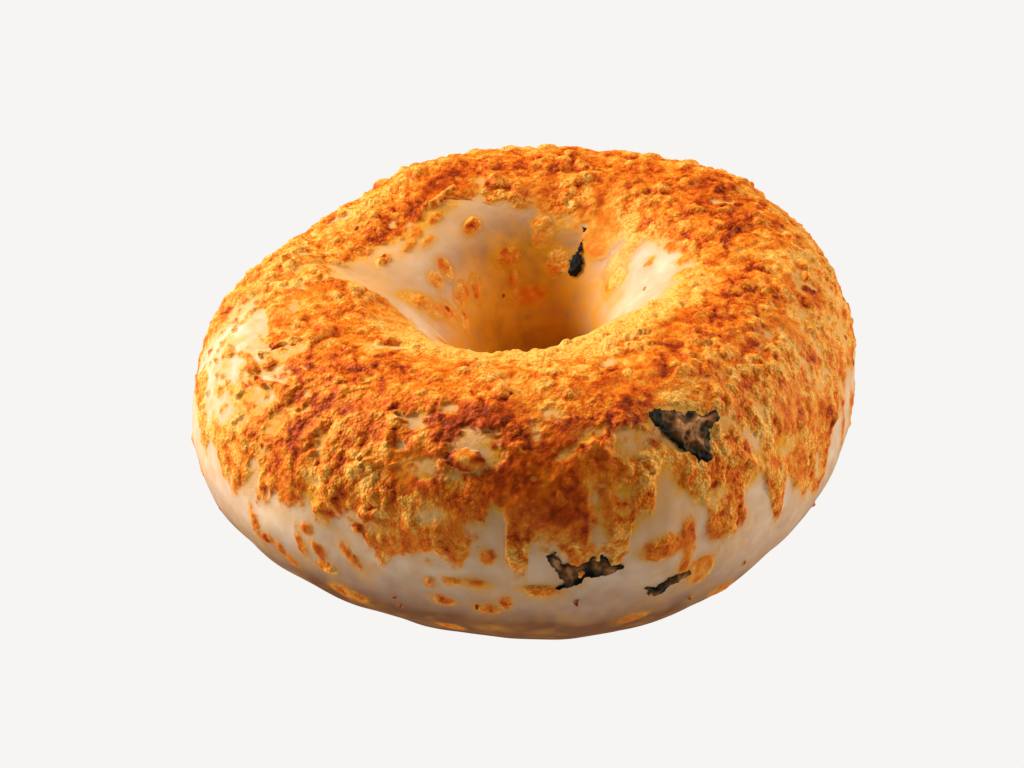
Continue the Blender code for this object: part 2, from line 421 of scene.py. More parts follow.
BLOTCH_SCALE = 85.0
WRINKLE_SCALE = 420.0
BLOTCH_SHARE = 0.55
WRINKLE_SHARE = 0.45
LEAST_FAT_AND_GLOW = 0.4
LEAST_BROWN_AND_SHADE = 0.58
# The colour the dough turns to low down, partly brown from the oven and partly painted shade, and on the
# hole's far wall, painted shade
BROWN_AND_SHADE_COLOUR = colour(134, 80, 42)
FAT_AND_GLOW_GOLD = colour(224, 152, 30)


def dough_paint(finish):
    """The dough's colour and its fine wrinkles, with the tint where fat ran in, which deep in the hole is
    painted glow, and the brown low down, partly from the oven and partly painted shade, and on the hole's far
    wall, painted shade.
    """
    blotches = finish.noise(BLOTCH_SCALE, 1.0)
    wrinkles = finish.noise(WRINKLE_SCALE, 1.5)
    plain = finish.ramp(
        blotches * BLOTCH_SHARE + wrinkles * WRINKLE_SHARE,
        (0.30, colour(206, 164, 128)),
        (0.50, colour(224, 186, 150)),
        (0.68, colour(236, 204, 172)),
    )
    fat_and_glow_share = finish.field("oiled") * (LEAST_FAT_AND_GLOW + wrinkles)
    browned_and_shaded = finish.mix(finish.field("crusted") * (LEAST_BROWN_AND_SHADE + blotches), plain, BROWN_AND_SHADE_COLOUR)
    return finish.mix(fat_and_glow_share, browned_and_shaded, FAT_AND_GLOW_GOLD), wrinkles, fat_and_glow_share


painted, wrinkles, fat_and_glow_share = dough_paint(dough_finish)
dough_finish.coat(
    Base_Color=painted,
    Roughness=0.46 + wrinkles * 0.16 - fat_and_glow_share * 0.08,
    Normal=dough_finish.bump(0.4, wrinkles),
    Specular_IOR_Level=0.35,
)
dough.data.materials.append(dough_finish.material)
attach(dough, "root")
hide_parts("bagel")

# The melted cheese: grated hard cheese that was strewn on the wet dough and baked until it ran together,
# browned and crisped. It is a thin glued-on crust, thick where shreds piled up, with bare windows between.
# It is made as fine relief over the dough and cut into four quarters of the ring.

CHEESE_CELL = 0.25
CHEESE_LAYER = 0.28
FILM_EDGE = -1.0
FILM_HEIGHT = 0.05
# Sections where the closed crust ends, round the ring: (around, lower edge, upper edge)
CHEESE_EDGES = (
    (0, 17, 112), (10, 14, 110), (20, 8, 112), (35, 2, 118), (50, 10, 122), (65, 6, 124), (80, 12, 128),
    (95, 5, 118), (105, 8, 112), (115, 12, 104), (125, 6, 100), (140, 3, 104), (150, 9, 100), (160, 8, 92),
    (170, 14, 86), (180, 12, 96), (188, 16, 112), (196, 18, 122), (200, 8, 122), (203, 5, 122),
    (205, 14, 122), (208, 12, 122), (210, 6, 124), (213, 1, 124), (216, 4, 124), (218, 8, 124),
    (220, 2, 126), (222, 6, 126), (224, 10, 126), (226, 7, 126), (229, 8, 126), (231, 14, 126),
    (233, 8, 126), (235, 9, 127), (238, 14, 128), (241, 13, 128), (243, 2, 128), (245, 0, 128),
    (247, 2, 128), (250, 3, 129), (254, 5, 130), (257, 5, 130), (259.5, 4, 130), (261, 10, 130),
    (262.5, 14, 130), (264.2, 26, 130), (266.3, 28, 130), (266.9, 20, 130), (267, 4, 130),
    (268.5, 1.5, 130), (270.5, 3, 130), (271, 16, 130), (273, 14, 130), (275, 12, 130), (277, 6, 130),
    (279, 1, 130), (281, 5, 130), (282.5, 8, 130), (283.5, 3, 130), (285.5, 3, 130), (287, 8, 130),
    (287.5, 17, 130), (289, 22, 130), (291.5, 23, 130), (293, 34, 130), (295, 36, 130), (297, 30, 130),
    (299, 24, 129), (301.5, 21, 129), (303, 6, 128), (305, 2, 128), (308, 4, 128), (309.5, 7, 128),
    (311, 18, 128), (314, 22, 128), (316, 18, 127), (318, 4, 127), (320, -4, 126), (321.5, 0, 126),
    (323, 12, 126), (326, 4, 126), (329, -1, 125), (332, -4, 124), (336, -8, 122), (339, -2, 122),
    (342, 8, 120), (346, 12, 118), (350, 10, 116), (355, 22, 114),
)
# Bare windows in the crust: (around, section, half width in mm, half height in mm, lean in degrees)
WINDOWS = (
    (260.2, 49.5, 4.3, 3.3, 0), (257.2, 36.5, 1.5, 1.3, 0), (252, 39.5, 2.7, 1.5, 0),
    (247.5, 60.5, 1.7, 1.6, 0), (271.5, 62.5, 0.9, 2.0, 0), (275, 69, 1.4, 1.1, 0),
    (282, 57.5, 2.3, 0.9, 20), (289.5, 51, 3.4, 2.3, 10), (281.8, 30.5, 0.7, 1.3, 0),
    (286.8, 31, 1.1, 1.2, 0), (286.8, 22.5, 0.9, 0.8, 0), (282.2, 15, 1.2, 2.5, 0),
    (254, 20.5, 2.4, 1.4, 0), (262.8, 17, 2.2, 1.3, 0), (276.5, 49.5, 1.1, 0.7, 0),
    (295.6, 28, 1.4, 3.2, 0), (303.8, 19.5, 2.6, 1.2, 0), (324.2, 22, 3.4, 1.4, 0),
    (315.5, 32, 1.3, 2.2, 0), (340, 49, 0.8, 4.5, -10), (337.5, 29.5, 0.8, 3.9, -10),
    (347, 43.5, 0.8, 3.9, -10), (218.8, 10.5, 0.8, 2.4, 0), (219.8, 36, 1.0, 3.1, -20),
    (231.8, 18, 1.3, 2.3, 0), (230.8, 38.5, 0.9, 1.9, 0), (208.5, 69, 2.0, 2.6, -30),
    (207.2, 28.5, 2.6, 2.9, 0), (190.2, 39.5, 3.0, 5.0, 0), (186, 57, 2.6, 3.8, 0),
    (241, 10.5, 4.2, 1.2, 0), (215, 42, 1.0, 2.0, -20), (253.5, 70, 1.2, 0.9, 0), (14, 60, 1.2, 4.6, 0),
    (8, 47, 1.0, 3.6, 0), (358, 36, 1.2, 3.6, 0), (352.5, 54, 0.8, 3.8, -15), (338, 68, 1.2, 1.2, 0),
    (320, 44, 0.9, 2.8, 0), (76, 50, 1.4, 3.2, 0), (100, 36, 1.8, 2.6, 0), (134, 60, 1.4, 3.2, 0),
    (148, 38, 2.0, 2.6, 0), (60, 30, 1.6, 2.6, 0), (30, 36, 1.4, 3.2, 0), (118, 22, 1.6, 2.0, 0),
    (165, 40, 1.8, 2.8, 0),
)
# Runs, beads and spots of cheese beyond the crust's edge, in the same numbers
ISLANDS = (
    (219, -6, 0.7, 3.0, 14), (221.6, -11.8, 1.1, 1.0, 0), (224.5, -15.5, 0.8, 1.5, 30),
    (226.4, -20, 0.8, 1.3, 30), (229.8, -3.5, 0.7, 2.3, 12), (231.3, 3, 0.9, 0.9, 0),
    (233.5, -4, 0.9, 1.9, 30), (234.8, -13, 1.6, 1.1, 0), (240, -2, 0.8, 2.4, 38), (232, 18.5, 0.9, 0.8, 0),
    (237.5, -29, 2.8, 1.6, -15), (241, 9, 1.0, 0.8, 0), (254.2, -5, 0.6, 0.8, 0), (258.2, -2, 1.2, 0.8, 0),
    (262.3, -1.5, 1.4, 0.8, 0), (256.5, -14.5, 1.5, 0.9, 0), (264, -16.5, 1.6, 0.9, 0),
    (267, -11.5, 0.8, 1.0, 0), (273, -3, 2.3, 1.1, 0), (264, 7.5, 1.2, 1.1, 0), (289.5, -28, 1.5, 0.7, 15),
    (256.8, -40, 1.8, 1.1, 0), (304.5, 8.5, 2.5, 3.3, 0), (309.8, 7, 1.0, 1.5, 0),
    (293.4, 6.5, 3.6, 1.8, 0), (298.2, 8, 1.2, 2.6, 0), (297.9, 0.5, 1.0, 2.6, -15),
    (301.2, -6, 2.5, 3.1, 0), (309.5, -33, 2.2, 1.8, 0), (349, 3.5, 0.9, 2.4, 0), (217, 24, 0.7, 1.0, 0),
    (204, 20, 0.5, 0.6, 0), (206, 27, 0.5, 0.5, 0), (197, 44, 0.6, 0.6, 0), (187, 66, 0.6, 0.5, 0),
    (184, 59, 0.5, 0.7, 0), (191, 36, 0.6, 0.5, 0), (203, 32, 0.5, 0.6, 0), (209, 24, 0.5, 0.7, 0),
    (193, 46, 0.5, 0.8, 0), (356, 4, 0.9, 2.4, 0), (4, 0, 1.0, 2.4, 0), (14, -4, 1.0, 2.0, 0),
    (22, -11, 0.8, 2.4, 18), (25, -4, 0.7, 1.0, 0), (42, -6, 1.5, 3.2, 0), (47, -15, 0.7, 0.9, 0),
    (61, -9, 0.7, 1.3, -20), (70, -4, 1.4, 3.4, 0), (74, -14, 0.8, 0.7, 0), (90, -20, 1.1, 0.8, 0),
    (95, -3, 0.8, 2.2, 14), (99, -9, 0.6, 1.1, 0), (121, -5, 1.6, 2.9, -10), (126, -15, 0.8, 1.2, 0),
    (139, -12, 0.7, 2.6, 20), (144, -5, 1.0, 1.6, 0), (160, -9, 1.3, 0.9, 0), (163, -3, 0.8, 2.4, -16),
    (177, -4, 0.9, 2.8, 0), (181, -14, 0.7, 1.2, 20), (191, -6, 0.6, 1.6, 8), (198, -12, 1.3, 0.9, 0),
    (102.5, 139.5, 1.9, 1.5, 0), (150, 129, 1.4, 1.6, 0), (140.3, 128.5, 1.2, 1.9, 0),
    (62.8, 129, 2.8, 3.8, 10), (44.5, 142, 1.2, 2.4, -10), (47.2, 129, 1.3, 4.4, -12),
    (86.5, 130, 1.7, 2.8, 0), (70.8, 122, 1.4, 1.3, 0), (116.2, 120.5, 1.5, 1.4, 0),
    (129, 107, 1.7, 0.9, 0), (138.8, 107.5, 1.3, 1.2, 0), (138, 114, 1.3, 0.9, 0),
    (144.5, 109.5, 1.6, 0.7, 0), (157, 105, 1.2, 0.8, 0), (32, 125.5, 0.9, 1.2, 0),
    (30.5, 115, 1.3, 1.1, 0), (10, 112, 1.4, 1.6, 0), (19.5, 112, 1.1, 1.2, 0), (168.5, 131, 1.3, 3.6, 10),
    (161, 141, 1.3, 2.0, 0), (139.5, 142, 1.8, 1.6, 0), (78, 144, 1.8, 2.2, 0), (92, 157, 2.6, 1.4, 0),
    (100, 150, 0.9, 1.5, 0), (126, 146, 0.8, 1.6, 0), (150, 150, 1.0, 1.6, 0), (262, 142, 1.0, 1.4, 0),
    (290, 146, 1.1, 1.8, 0), (318, 140, 0.8, 2.2, 0), (236, 143, 0.9, 2.0, 0), (205, 138, 1.0, 1.6, 0),
    (345, 132, 0.8, 2.0, 0),
)
# Where a thin film of melted fat and cheese tints the dough, and, in the broad spots deep in the hole,
# painted glow of light off the cheese: (around, section, half lengths in mm, strength)
FILMS = (
    (110, 168, 12.0, 8.0, 0.9), (75, 170, 8.0, 6.0, 0.9), (140, 164, 6.0, 8.0, 0.7),
    (170, 162, 6.0, 8.0, 0.6), (91, 160, 5.0, 4.0, 0.7), (112, 133, 5.0, 4.0, 0.45),
    (78, 144, 2.6, 3.0, 1.1), (139.5, 142, 2.4, 2.2, 0.9), (168.5, 131, 1.6, 4.0, 0.9),
    (161, 141, 1.8, 2.5, 0.9), (102.5, 143, 2.2, 3.2, 0.7), (124, 140, 2.0, 3.0, 0.5),
    (60, 148, 4.0, 3.0, 0.5), (248, 12, 5.0, 2.4, 0.5), (262, -2, 4.0, 1.6, 0.35), (305, 30, 4.0, 4.5, 0.4),
    (105, 148, 18.0, 5.0, 1.2), (313, 20, 2.0, 1.4, 0.7), (287, 18, 3.0, 1.6, 0.5),
    (258, 48, 6.0, 4.0, -0.1), (288, 42, 4.0, 2.4, 0.8), (272, -4, 3.0, 1.6, 0.5),
    (196, 38, 10.0, 11.0, -0.55), (24, 128, 6.0, 6.0, -0.8), (265, -34, 2.0, 1.2, 0.5),
    (273, -36, 2.4, 1.0, 0.4), (280, 165, 14.0, 8.0, 0.8), (220, 160, 10.0, 8.0, 0.7),
    (320, 160, 8.0, 8.0, 0.7), (324, 24, 4.0, 2.0, 0.5), (0, 45, 9.0, 8.0, 0.3), (340, 8, 4.0, 2.0, 0.4),
    (232, 14, 3.0, 2.0, 0.4),
)
# Long flakes and cracks: (around, section) of both ends, half width, height (below nought a crack), and tone;
# the dark tone of the cracks is painted shade
FLAKES = (
    (20.5, 97, 26.5, 86, 0.6, 0.75, 0.92), (204.0, 60, 208.0, 73, 0.45, -0.5, 0.95),
    (122.5, 100.5, 109, 113, 0.5, -0.4, 0.95), (109, 113, 95.7, 127.5, 0.45, -0.35, 0.92),
    (239.6, 37.5, 246.4, 38.2, 0.35, 0.55, 0.50), (116, 98, 126, 99, 0.8, 0.5, 0.30),
)
# Small dark crumbs of burnt cheese and seed: (around, section, half length around, half length up, strength)
CRUMBS = (
    (247.5, -20, 0.5, 0.3, 1.6), (248.3, -25.5, 0.35, 0.35, 1.5), (262.3, -16, 0.35, 0.6, 1.5),
    (278.7, -10.5, 0.4, 0.4, 1.6), (300.5, -25.5, 0.4, 0.4, 1.5), (312.2, -16.5, 0.3, 0.6, 1.6),
    (148.8, 84.5, 0.5, 0.4, 1.6), (1, 16, 0.6, 0.6, 1.8), (0.8, 29, 0.4, 0.5, 1.6),
    (15.2, 129, 0.6, 0.3, 1.5), (107.7, 154.5, 0.4, 0.4, 1.6), (159.5, 140, 0.3, 0.6, 1.6),
    (340, -24, 0.4, 0.4, 1.5), (20, -14, 0.5, 0.4, 1.6), (64, -22, 0.4, 0.5, 1.6), (96, -30, 0.4, 0.4, 1.6),
    (128, -22, 0.5, 0.3, 1.6), (163, -24, 0.4, 0.5, 1.6), (205, -22, 0.4, 0.4, 1.6),
)
# Where the cheese browned most, in the same numbers
TOASTED = (
    (260, 60, 10, 5.5, 0.46), (240, 62, 8, 4.0, 0.16), (288, 61, 7, 4.0, 0.46), (218, 74, 7, 4.0, 0.26),
    (212, 60, 5, 4.0, 0.26), (333, 88, 9, 5.0, 0.30), (352, 84, 7, 5.0, 0.24), (3, 60, 3, 4.0, 0.34),
    (24.8, 90, 2.6, 2.4, 0.45), (20, 100, 5, 4.0, 0.20), (40, 85, 12, 5.5, 0.30), (66, 92, 7, 4.5, 0.26),
    (90, 92, 8, 4.5, 0.30), (112, 92, 8, 4.0, 0.32), (130, 100, 6, 4.0, 0.26), (150, 94, 6, 4.0, 0.22),
    (262, 38, 9, 4.0, 0.20), (276, 38, 8, 6.0, 0.24), (224, 38, 10, 8.0, 0.16), (300, 78, 10, 5.0, 0.12),
    (250, 84, 10, 5.0, 0.12), (205, 92, 8, 6.0, 0.16), (245, 12, 6, 3.0, 0.10), (102, 141, 1.6, 2.0, 0.20),
    (256.4, 45.5, 0.7, 1.0, 0.55), (261.5, 44.0, 1.2, 1.2, 0.2),
)
# Where it stayed pale and golden: round the hole's front rim, low on the left and where it lies thin
GOLDEN = (
    (270, 116, 24, 5.5, 0.42), (310, 114, 16, 5.5, 0.34), (232, 118, 12, 5.0, 0.28),
    (345, 108, 10, 6.0, 0.28), (60, 128, 6, 6.0, 0.20), (45, 138, 4, 5.0, 0.20), (90, 132, 5, 5.0, 0.14),
    (200, 30, 8, 9.0, 0.20), (222, 8, 8, 4.0, 0.06), (196, 60, 6, 7.0, 0.10), (305, 64, 5, 5.0, 0.10),
    (304, 33, 3.6, 4.0, 0.12), (301, -6, 4, 4.0, 0.14), (47, 129, 2, 5.0, 0.1), (308, 20, 8, 5.0, 0.04),
    (325, 4, 8, 5.0, 0.16), (268, 8, 12, 3.5, 0.12), (12, 60, 6, 9.0, 0.16), (0, 32, 8, 7.0, 0.16),
    (160, 134, 12, 7.0, 0.16), (206, 14, 8, 8.0, 0.16),
)
# Where it was strewn so thinly that bare dough shows through between the shreds
SPARSE = (
    (206, 34, 11, 11, 1.05), (196, 62, 8, 8, 0.75), (215, 58, 6, 5, 0.55), (190, 40, 8, 10, 0.85),
    (218, 16, 6, 5, 0.50), (240, 20, 9, 4, 0.40), (2, 40, 10, 12, 0.60), (345, 30, 8, 8, 0.60),
    (312, 34, 6, 7, 0.70), (262, 50, 8, 5, 0.25), (100, 40, 40, 12, 0.45), (30, 30, 20, 12, 0.45),
    (152, 70, 10, 8, 0.45), (178, 78, 8, 8, 0.45), (120, 12, 30, 6, 0.40),
)
# Where it melted into a smooth translucent sheet
MELTED = (
    (270, 38, 7, 7.0, 1.0), (250, 36, 5, 4.0, 0.9), (283, 42, 4, 6.0, 0.7), (262, 20, 6, 3.0, 0.6),
    (308, 20, 4, 3.0, 0.7), (300, 4, 3, 5.0, 0.8), (326, 4, 3, 4.0, 0.6), (62, 128, 4, 5.0, 0.8),
    (125, 98, 8, 5.0, 0.6), (345, 46, 4, 6.0, 0.4), (80, 40, 6, 5.0, 0.6), (30, 24, 5, 4.0, 0.6),
)
# The leaves keep these places free of cheese, in the numbers of a window
LEAF_BEDS = (
    (300, 52, 5.6, 3.6, -30), (275, 6.5, 1.6, 1.5, 0), (294.8, -9.5, 4.0, 1.4, 0), (68.6, 143.5, 1.2, 1.5, 0),
)
# The one large nut-brown lump on the front: place, half lengths and height
BIG_LUMP = (259.0, 45.5, 2.9, 1.7, 1.3)


def placed(spots, around, section, around_length, section_length):
    """The sum of soft spots laid on the skin, each given by its place, reaches and strength."""
    total = np.zeros(len(around))
    for spot_around, spot_section, reach_around, reach_section, strength in spots:
        up = (section - spot_section) * section_length / reach_section
        near = np.flatnonzero(np.abs(up) < 3)
        across = angle_from(around[near], spot_around) * around_length[near] / reach_around
        total[near] += strength * np.exp(-(across ** 2 + up[near] ** 2))
    return total


def lengths_per_degree(points, section):
    """Millimetres on the skin for one degree round the ring and one degree of section."""
    sections = np.arange(-90, 271, 2.0)
    steps = np.interp(section, sections, section_step_lengths(sections))
    return np.radians(1) * np.linalg.norm((points - np.array(RING_SHIFT))[:, :2], axis=1), steps


def beyond_oval(oval, around, section, around_length, section_length):
    """How far outside an oval on the skin each point lies, in millimetres; inside it is below nought."""
    oval_around, oval_section, half_wide, half_high, lean = oval
    up = (section - oval_section) * section_length
    beyond = np.full(len(around), 99.0)
    near = np.flatnonzero(np.abs(up) < half_high + half_wide + 6)
    across = angle_from(around[near], oval_around) * around_length[near]
    slope = math.radians(lean)
    aside = across * math.cos(slope) + up[near] * math.sin(slope)
    along = up[near] * math.cos(slope) - across * math.sin(slope)
    beyond[near] = (np.hypot(aside / half_wide, along / half_high) - 1) * min(half_wide, half_high)
    return beyond


# How the outline of the crust strays, in mm: sizes of the steps, then how far they reach
BROAD_SIZE = 5.0
RAGGED_SIZE = 1.8
PATCH_SIZE = 3.2
GRIT_SIZE = 1.5
DRAWN_DOWN = 0.55
EDGE_STRAY = 0.9
BACK_STRAY = 1.4
BACK_AROUND = 95
BACK_REACH = 75
DEEPEST = 3
WINDOW_SETBACK = 0.15
WINDOW_RAGGED = 0.7
PATCH_LEVEL = 1.04
PATCH_SLOPE = 4
PATCH_RAGGED = 0.8
GRIT_GROWTH = 2.2
GRIT_LOSS = 1.3
ISLAND_DEPTH = 0.3
ISLAND_SLOPE = 1.6
ISLAND_RAGGED = 0.35
CRUMB_SLOPE = 4
CRUMB_LEVEL = 0.6
BED_RAGGED = 0.5


def depth_inside_crust(points, around, section):
    """How far inside the cheese each point lies, in millimetres; below nought it is on bare dough."""
    lengths = lengths_per_degree(points, section)
    edge_places = [place for place, low, high in CHEESE_EDGES]
    low_edge = np.interp(around, edge_places, [low for place, low, high in CHEESE_EDGES], period=360)
    high_edge = np.interp(around, edge_places, [high for place, low, high in CHEESE_EDGES], period=360)
    stretched = points.copy()
    stretched[:, 2] *= 1 - DRAWN_DOWN * np.clip((70 - section) / 40, 0, 1)
    broad = unevenness(stretched, BROAD_SIZE, 21, layers=2)
    ragged = unevenness(stretched, RAGGED_SIZE, 31, layers=3)
    depth = np.minimum(section - low_edge, high_edge - section) * lengths[1]
    near_crust = np.clip(depth / 2 + 1.5, 0, 1)
    stray = EDGE_STRAY + BACK_STRAY * bell(angle_from(around, BACK_AROUND), BACK_REACH)
    depth = np.minimum(depth + stray * broad, DEEPEST) + EDGE_STRAY * ragged
    for window in WINDOWS:
        beyond = beyond_oval(window, around, section, *lengths)
        depth = np.minimum(depth, beyond + WINDOW_SETBACK + WINDOW_RAGGED * ragged)
    patchy = unevenness(stretched, PATCH_SIZE, 41, layers=2)
    sparse = placed(SPARSE, around, section, *lengths)
    depth = np.minimum(depth, (PATCH_LEVEL - sparse - patchy) * PATCH_SLOPE + PATCH_RAGGED * ragged)
    grit_place, grit_number = pebbles(points, GRIT_SIZE, 45)
    grit = GRIT_GROWTH * grit_number * near_crust - GRIT_LOSS - GRIT_SIZE * grit_place
    depth = np.where(near_crust > 0, np.maximum(depth, grit), depth)
    for island in ISLANDS:
        beyond = beyond_oval(island, around, section, *lengths)
        depth = np.maximum(depth, ISLAND_DEPTH - ISLAND_SLOPE * beyond + ISLAND_RAGGED * ragged)
    depth = np.maximum(depth, CRUMB_SLOPE * (placed(CRUMBS, around, section, *lengths) - CRUMB_LEVEL))
    for bed in LEAF_BEDS:
        depth = np.minimum(depth, beyond_oval(bed, around, section, *lengths) + BED_RAGGED * ragged)
    return depth


# The tint of fat, with painted glow deep in the hole: how uneven it is, in steps of 2.2, 5.0 and 1.6 mm, then
# where it lies and how strongly
FILM_PATCHINESS = 0.5
FILM_DRIFT = 0.15
FILM_SPECKLE = 0.12
GREASE = 0.42
GREASE_SECTIONS = (18, 118)
STREAKS = 0.9
STREAKS_SECTION = 128
STREAK_SQUEEZE = np.array((1, 1, 0.2))
EDGE_TINT = 0.60
EDGE_TINT_REACH = 1.2
TINT_SOFTNESS = 4


def film_of_fat_and_glow(points, around, section, depth):
    """How strongly the dough is tinted by fat that ran out of the cheese, and deep in the hole by painted
    glow, from 0 to 1.
    """
    spread = placed(FILMS, around, section, *lengths_per_degree(points, section))
    spread = spread * (1 + FILM_PATCHINESS * unevenness(points, 2.2, 55, layers=2))
    spread = spread + FILM_DRIFT * unevenness(points, 5.0, 57, layers=2)
    first, last = GREASE_SECTIONS
    greasy = GREASE * soft_step(section - first, TINT_SOFTNESS) * soft_step(last - section, TINT_SOFTNESS)
    spread += FILM_SPECKLE * unevenness(points, 1.6, 59) + greasy
    streaks = unevenness(points * STREAK_SQUEEZE, 2.4, 58, layers=2)
    spread += STREAKS * np.clip(streaks, 0, 1) * soft_step(section - STREAKS_SECTION, TINT_SOFTNESS)
    return np.clip(spread + EDGE_TINT * np.exp(np.minimum(depth, 0) / EDGE_TINT_REACH), 0, 1)


# Where the low band of brown and painted shade on the bare dough is kept pale, at the right and the left, as
# (around, reach, share), and the far wall of the hole, darkened as painted shade
PALE_RIGHT = (332, 24, 0.7)
PALE_LEFT = (200, 26, 0.5)
FAR_WALL_AROUND = 100
FAR_WALL_REACH = 45
FAR_WALL_SECTION = 126


def dough_brown_and_shade(around, section):
    """How brown the bare dough is, from 0 to 1: most low down, where it is partly brown from the oven and
    partly painted shade, and on the hole's far wall, where it is painted shade.
    """
    low = 1 - np.clip((section + 30) / 30, 0, 1)
    right, left = (1 - share * bell(angle_from(around, place), reach)
                   for place, reach, share in (PALE_RIGHT, PALE_LEFT))
    low *= right * left
    far_wall = bell(angle_from(around, FAR_WALL_AROUND), FAR_WALL_REACH)
    return low + soft_step(section - FAR_WALL_SECTION, 5) * far_wall


dough_depth = depth_inside_crust(dough_bare, dough_around, dough_section)
# Tint of fat, and painted glow of light off the cheese deep in the hole
oiled = film_of_fat_and_glow(dough_bare, dough_around, dough_section, dough_depth)
# Painted shade with some real oven brown: darker low down, kept pale at the right and left, and darker on the
# hole's far wall
crusted = dough_brown_and_shade(dough_around, dough_section)
for field, values in (("oiled", oiled), ("crusted", crusted)):
    dough.data.attributes.new(field, "FLOAT", "POINT").data.foreach_set("value", values.astype(np.float32))

CHEESE_SECTIONS = (-52, 165)
MELT_SIZE = 6.0
MELT_UNEVEN = 0.35
MELTED_HOLE = 0.7
MELTED_HOLE_SECTION = 120
MELTED_LOW = 0.4
MELTED_LOW_SECTION = 8
cheese_rows = ring_rows(*CHEESE_SECTIONS, CHEESE_CELL)
around, section, starts = net_angles(cheese_rows)
bare = dough_points(around, section)
out = dough_normals(around, section)
row_sections = np.array([row[0] for row in cheese_rows])
around_length, section_length = lengths_per_degree(bare, section)
net = around, section, around_length, section_length
depth_in = depth_inside_crust(bare, around, section)
melted = np.clip(placed(MELTED, *net)
                 + MELTED_HOLE * soft_step(section - MELTED_HOLE_SECTION, 4)
                 + MELTED_LOW * soft_step(MELTED_LOW_SECTION - section, 4)
                 + MELT_UNEVEN * unevenness(bare, MELT_SIZE, 51), 0, 1)
rough = 1 - 0.8 * melted

# Shreds that kept their shape: worm-like strands lying across the top and running down the sides
STRAND_COUNT = 1700
STRAND_SEED = 2024
STRAND_LOWEST = -0.25
STRANDS_INSIDE = 0.32
STRAND_HALF_LONG = (0.5, 2.2)
STRAND_HALF_WIDE = (0.38, 0.75)
STRAND_RISE = (0.4, 0.9)
STRAND_LEAN = 0.30
STRAND_BEND = 0.16
STRAND_WAVE = 0.30
TOP_SECTION = 62
TOP_SHORTENING = 0.55
chance = np.random.default_rng(STRAND_SEED)
strand_height = np.zeros(len(around))
strand_tone = np.zeros(len(around))
warp = STRAND_WAVE * np.stack([unevenness(bare, 1.0, 61), unevenness(bare, 1.0, 62)])
for _ in range(STRAND_COUNT):
    strand_around = chance.uniform(0, 360)
    strand_section = math.degrees(math.asin(chance.uniform(STRAND_LOWEST, 1)))
    if chance.random() < STRANDS_INSIDE:
        strand_section = 180 - strand_section * chance.uniform(0.75, 1)
    half_long = chance.uniform(*STRAND_HALF_LONG)
    half_wide = chance.uniform(*STRAND_HALF_WIDE)
    lean = chance.normal(0, STRAND_LEAN) + math.pi / 2
    if strand_section > TOP_SECTION:
        lean = chance.uniform(0, math.pi)
        half_long *= TOP_SHORTENING
    height = half_wide * chance.uniform(*STRAND_RISE)
    bend = chance.normal(0, STRAND_BEND)
    tone = chance.normal(0, 1)
    rows_each_way = int((half_long + 0.8) / CHEESE_CELL)
    row = min(np.searchsorted(row_sections, strand_section), len(cheese_rows) - 1)
    picked = []
    for near_row in range(max(0, row - rows_each_way), min(len(cheese_rows), row + rows_each_way)):
        count = cheese_rows[near_row][1]
        middle = int(strand_around / 360 * count)
        columns = np.arange(middle - rows_each_way, middle + rows_each_way + 1) % count
        picked.append(starts[near_row] + columns)
    picked = np.concatenate(picked)
    across = angle_from(around[picked], strand_around) * around_length[picked] + warp[0, picked]
    up = (section[picked] - strand_section) * section_length[picked] + warp[1, picked]
    along = across * math.cos(lean) + up * math.sin(lean)
    aside = up * math.cos(lean) - across * math.sin(lean) - bend * along * along
    past = np.maximum(np.abs(along) - half_long, 0)
    rise = height * np.sqrt(np.maximum(0, 1 - (past ** 2 + aside ** 2) / half_wide ** 2))
    higher = rise > strand_height[picked]
    strand_height[picked] = np.where(higher, rise, strand_height[picked])
    strand_tone[picked] = np.where(higher, tone, strand_tone[picked])

# The crust's relief, in mm: a thin layer, lumps, strands, nodules and beads
LAYER_REACH = 0.9
LUMP_SIZE = 3.4
NODULE_SIZE = 2.5
NODULE_RADIUS = 0.66
NODULE_HEIGHT = 0.70
NODULE_SPREAD = (0.2, 0.8)
BEAD_SIZE = 0.9
BEAD_RADIUS = 0.64
BEAD_HEIGHT = 0.13
BEAD_SPREAD = (0.3, 0.7)
SHAKE = 0.25
STRAND_SHARE = 0.40
CRUST_GAIN = 1.3
FINE_SIZE = 0.6
FINE_HEIGHT = 0.05
SIDES_SECTION = 38
SIDES_THINNED = 0.35
HOLE_SECTION = 122
HOLE_THINNED = 0.55
CLOSED_DEPTH = 1.5


def domes(distance, radius):
    """Round caps that are one high in the middle and end at the radius."""
    return np.sqrt(np.maximum(0, 1 - (distance / radius) ** 2))


layer = CHEESE_LAYER * (1 - np.exp(-np.maximum(depth_in, 0) / LAYER_REACH))
lumps = np.clip(unevenness(bare, LUMP_SIZE, 71, layers=2), -1, 1)
shaken = bare + SHAKE * warp[0][:, None]
nodule_place, nodule_number = pebbles(shaken, NODULE_SIZE, 81)
nodules = domes(nodule_place, NODULE_RADIUS) * (NODULE_SPREAD[0] + NODULE_SPREAD[1] * nodule_number)
bead_place, bead_number = pebbles(shaken, BEAD_SIZE, 85)
beads = domes(bead_place, BEAD_RADIUS) * (BEAD_SPREAD[0] + BEAD_SPREAD[1] * bead_number)
inside = np.clip(depth_in + 0.2, 0, 1)
crust = rough * (NODULE_HEIGHT * nodules * np.clip(0.6 + lumps, 0, 1.3) + BEAD_HEIGHT * beads)
crust += (0.20 + 0.80 * rough) * STRAND_SHARE * strand_height
crust = CRUST_GAIN * crust + FINE_HEIGHT * unevenness(bare, FINE_SIZE, 101)
thinned = 1 - SIDES_THINNED * soft_step(SIDES_SECTION - section, 8)
